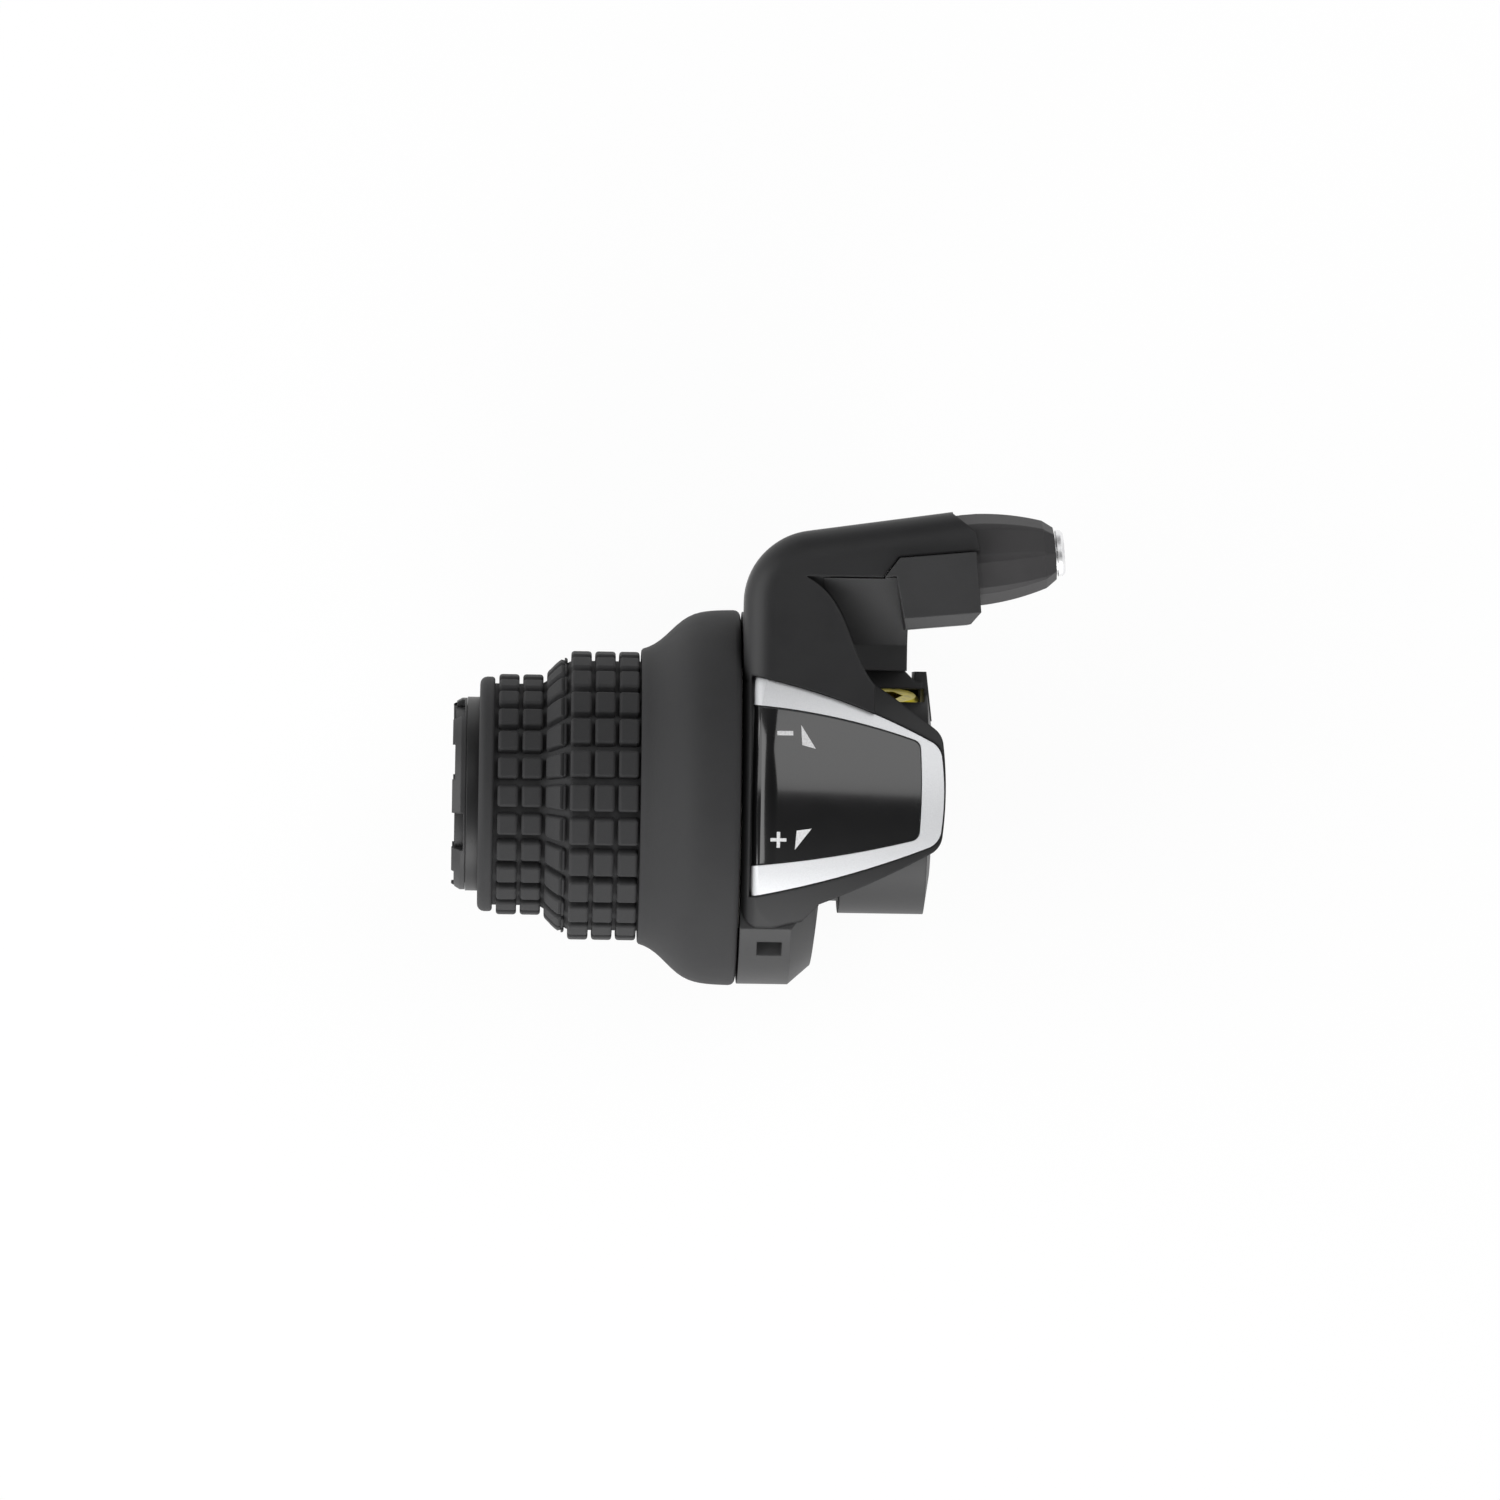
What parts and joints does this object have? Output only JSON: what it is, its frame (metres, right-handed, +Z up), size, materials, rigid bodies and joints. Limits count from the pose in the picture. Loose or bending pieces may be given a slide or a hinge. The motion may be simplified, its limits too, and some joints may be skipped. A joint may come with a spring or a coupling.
{
  "type": "twist grip shifter",
  "caption": "Friction twist grip shifter for a bicycle handlebar: blocked rubber grip, clamp housing with display panel, curved cable arm and barrel adjuster.",
  "frame": {"origin": "on the handlebar axis at the middle of the clamp ring", "axes": "+X along the bar towards the bike's middle, +Y forward, +Z up out of the display"},
  "size_m": [0.0846, 0.0663, 0.0524],
  "materials": {
    "base_plastic": "moulded black nylon, fine matte grain",
    "cover_plastic": "moulded black plastic, satin",
    "silver_paint": "silver metallic paint on moulded plastic",
    "panel_gloss": "polished black panel with printed marks",
    "yellow_zinc": "yellow passivated zinc on steel",
    "plain_steel": "bright zinc on steel",
    "liner_plastic": "natural acetal",
    "grip_rubber": "moulded black rubber, fine grain",
    "core_plastic": "moulded black nylon",
    "knob_plastic": "moulded black plastic, satin",
    "insert_brass": "turned brass",
    "bright_nickel": "nickel plated"
  },
  "bodies": {
    "housing": {"bracket": "base_plastic", "housing_cover": "cover_plastic", "display_bezel": "silver_paint", "display_lens": "panel_gloss", "end_ring": "base_plastic", "clamp_screw": "yellow_zinc", "clamp_washer": "yellow_zinc", "clamp_nut": "plain_steel", "cover_screws": "plain_steel", "friction_spring": "plain_steel", "thrust_washer": "plain_steel", "cable_guide": "liner_plastic", "click_spring": "plain_steel"},
    "twist_grip": {"rubber_grip": "grip_rubber", "grip_core": "core_plastic", "cable_drum": "liner_plastic"},
    "adjuster_knob": {"adjuster_knob": "knob_plastic", "threaded_insert": "insert_brass"},
    "adjuster_bolt": {"adjuster_bolt": "bright_nickel"}
  },
  "joints": [
    {"name": "grip_twist", "type": "hinge", "parent": "housing", "child": "twist_grip", "pos_m": [0, 0, 0], "axis": [1, 0, 0], "range_deg": [0, 75]},
    {"name": "knob_turn", "type": "hinge", "parent": "housing", "child": "adjuster_knob", "pos_m": [0.0122, 0.0336, 0.014], "axis": [0.9954, 0.0958, 0], "range_deg": [0, 1440]},
    {"name": "bolt_slide", "type": "slide", "parent": "housing", "child": "adjuster_bolt", "axis": [0.9954, 0.0958, 0], "range_m": [0, 0.004]}
  ],
  "couplings": [
    {"joint": "knob_turn", "follows": "bolt_slide", "rad_per_m": 6283.2}
  ]
}
